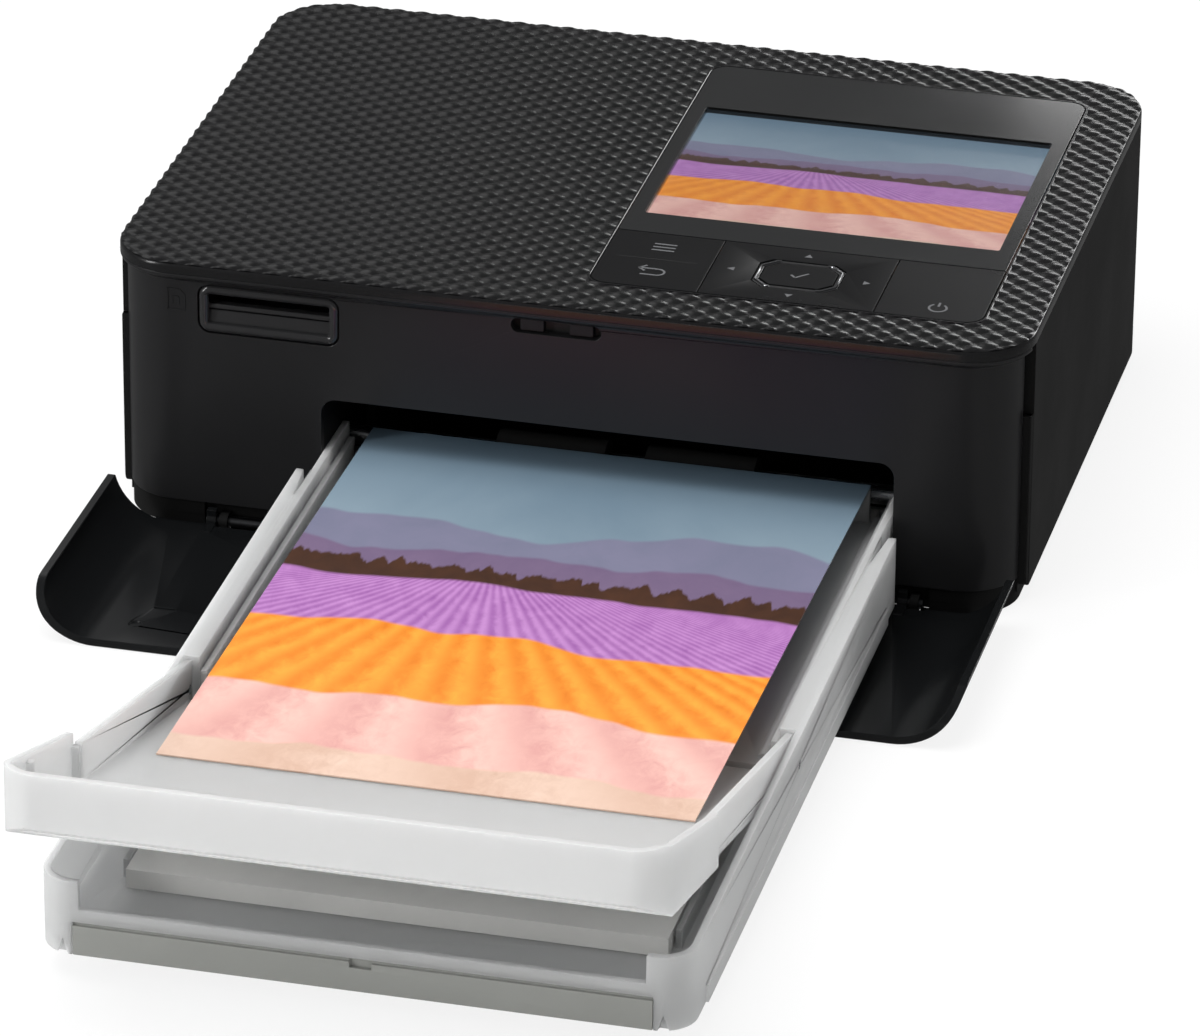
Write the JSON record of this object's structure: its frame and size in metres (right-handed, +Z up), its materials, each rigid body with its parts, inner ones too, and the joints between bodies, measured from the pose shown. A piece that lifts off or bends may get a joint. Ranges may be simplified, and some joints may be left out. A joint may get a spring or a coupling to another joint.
{
  "type": "compact photo printer",
  "caption": "Compact dye-sublimation photo printer: knurled top with screen and keys, open front flap, translucent paper cassette with a finished print.",
  "frame": {"origin": "middle of the footprint of the printer with its cassette fitted and the front flap open, on the table", "axes": "+X to the right seen from the front, +Y to the back, +Z up"},
  "size_m": [0.1822, 0.3308, 0.0576],
  "materials": {
    "knurled_plastic": "satin black, knurled",
    "screen_plastic": "gloss, smoked",
    "lcd_glass": "lit screen",
    "inner_plastic": "matt black",
    "key_plastic": "satin black",
    "polished_plastic": "polished black",
    "circuit_board": "solder mask",
    "satin_plastic": "fine satin black",
    "brushed_tin": "tinned sheet",
    "grey_plastic": "satin grey",
    "side_plastic": "fine matt black",
    "steel": "ground",
    "rubber": "matt",
    "flap_plastic": "satin to gloss black",
    "clear_plastic": "frosted translucent",
    "paper": "white paper",
    "photo_paper": "glossy print",
    "sheet_steel": "zinc plated",
    "ceramic": "glazed ceramic",
    "aluminium": "extruded",
    "gear_plastic": "natural acetal",
    "ribbon_plastic": "satin dark grey",
    "dye_film": "thin film"
  },
  "bodies": {
    "case": {"top_cover": "knurled_plastic", "screen_window": "screen_plastic", "lcd_panel": "lcd_glass", "panel_frame": "inner_plastic", "ok_collar": "polished_plastic", "key_board": "circuit_board", "front_case": "satin_plastic", "card_bezel": "satin_plastic", "card_reader": "brushed_tin", "latch_catch": "grey_plastic", "left_panel": "side_plastic", "rear_case": "satin_plastic", "dc_inlet": "inner_plastic", "usb_port": "brushed_tin", "base_pan": "inner_plastic", "rubber_feet": "rubber", "case_screws": "steel", "paper_bay": "inner_plastic", "chassis_left": "sheet_steel", "chassis_right": "sheet_steel", "chassis_ties": "sheet_steel", "drive_motor": "sheet_steel", "ribbon_motor": "sheet_steel", "motor_bracket": "sheet_steel", "ribbon_shell": "ribbon_plastic", "ribbon_film": "dye_film", "main_board": "circuit_board", "board_parts": "inner_plastic"},
    "flap": {"front_flap": "flap_plastic", "flap_rods": "steel"},
    "cassette": {"cassette_base": "clear_plastic", "cassette_bar": "grey_plastic", "cassette_lid": "clear_plastic", "paper_stack": "paper", "photo_print": "photo_paper"},
    "front_lid": {"cassette_front_lid": "clear_plastic", "lid_pins": "clear_plastic"},
    "door": {"ink_door": "side_plastic", "door_pins": "steel"},
    "rear_flap": {"dust_flap": "side_plastic"},
    "menu": {"menu_key": "key_plastic"},
    "pad": {"cross_key": "key_plastic"},
    "ok": {"ok_key": "key_plastic"},
    "power": {"power_key": "key_plastic"},
    "feed": {"feed_roller": "rubber", "feed_shaft": "steel", "feed_gear": "gear_plastic"},
    "capstan": {"capstan_roller": "steel", "capstan_gear": "gear_plastic"},
    "pinch": {"pinch_roller": "rubber"},
    "platen": {"platen_roller": "rubber"},
    "drive": {"drive_pinion": "steel"},
    "winder": {"ribbon_pinion": "steel"},
    "takeup": {"takeup_spool": "ribbon_plastic", "takeup_gear": "gear_plastic"},
    "supply": {"supply_spool": "dye_film"},
    "head": {"print_head": "ceramic", "head_carrier": "inner_plastic", "heat_sink": "aluminium"},
    "eject": {"eject_lever": "grey_plastic"}
  },
  "joints": [
    {"name": "flap_hinge", "type": "hinge", "parent": "case", "child": "flap", "pos_m": [0, 0.03375, 0.002], "axis": [-1, 0, 0], "range_deg": [0, 2.5]},
    {"name": "cassette_slide", "type": "slide", "parent": "case", "child": "cassette", "axis": [0, -1, 0], "range_m": [0, 0.19]},
    {"name": "front_lid_hinge", "type": "hinge", "parent": "cassette", "child": "front_lid", "pos_m": [0.0092, -0.05835, 0.014], "axis": [1, 0, 0], "range_deg": [0, 5]},
    {"name": "ink_door_hinge", "type": "hinge", "parent": "case", "child": "door", "pos_m": [0.08886, 0.15695, 0.0288], "axis": [0, 0, 1], "range_deg": [0, 95]},
    {"name": "dust_flap_hinge", "type": "hinge", "parent": "case", "child": "rear_flap", "pos_m": [0.0092, 0.16395, 0.0298], "axis": [1, 0, 0], "range_deg": [0, 60]},
    {"name": "menu_press", "type": "slide", "parent": "case", "child": "menu", "axis": [0, 0, -1], "range_m": [0, 0.0004], "stiffness_N_per_m": 400, "springref_m": -0.001},
    {"name": "pad_press", "type": "slide", "parent": "case", "child": "pad", "axis": [0, 0, -1], "range_m": [0, 0.0004], "stiffness_N_per_m": 400, "springref_m": -0.001},
    {"name": "ok_press", "type": "slide", "parent": "case", "child": "ok", "axis": [0, 0, -1], "range_m": [0, 0.0004], "stiffness_N_per_m": 400, "springref_m": -0.001},
    {"name": "power_press", "type": "slide", "parent": "case", "child": "power", "axis": [0, 0, -1], "range_m": [0, 0.0004], "stiffness_N_per_m": 400, "springref_m": -0.001},
    {"name": "capstan_spin", "type": "hinge", "parent": "case", "child": "capstan", "pos_m": [0.0092, 0.07835, 0.0215], "axis": [1, 0, 0], "continuous": true},
    {"name": "feed_spin", "type": "hinge", "parent": "case", "child": "feed", "pos_m": [0.0092, 0.05263, 0.01495], "axis": [1, 0, 0], "continuous": true},
    {"name": "drive_spin", "type": "hinge", "parent": "case", "child": "drive", "pos_m": [-0.0621, 0.06635, 0.0215], "axis": [1, 0, 0], "continuous": true},
    {"name": "pinch_spin", "type": "hinge", "parent": "case", "child": "pinch", "pos_m": [0.0092, 0.07835, 0.02775], "axis": [1, 0, 0], "continuous": true},
    {"name": "platen_spin", "type": "hinge", "parent": "case", "child": "platen", "pos_m": [0.0092, 0.09635, 0.017], "axis": [1, 0, 0], "continuous": true},
    {"name": "takeup_spin", "type": "hinge", "parent": "case", "child": "takeup", "pos_m": [0.0092, 0.07685, 0.0405], "axis": [1, 0, 0], "continuous": true},
    {"name": "winder_spin", "type": "hinge", "parent": "case", "child": "winder", "pos_m": [-0.0621, 0.09125, 0.0405], "axis": [1, 0, 0], "continuous": true},
    {"name": "supply_spin", "type": "hinge", "parent": "case", "child": "supply", "pos_m": [0.0092, 0.11635, 0.0405], "axis": [1, 0, 0], "continuous": true},
    {"name": "head_lift", "type": "slide", "parent": "case", "child": "head", "axis": [0, 0, 1], "range_m": [0, 0.0025]},
    {"name": "eject_slide", "type": "slide", "parent": "case", "child": "eject", "axis": [0, -1, 0], "range_m": [0, 0.003]}
  ],
  "couplings": [
    {"joint": "drive_spin", "follows": "capstan_spin", "ratio": -1.5},
    {"joint": "feed_spin", "follows": "capstan_spin", "ratio": 0.69231},
    {"joint": "winder_spin", "follows": "takeup_spin", "ratio": -2}
  ]
}
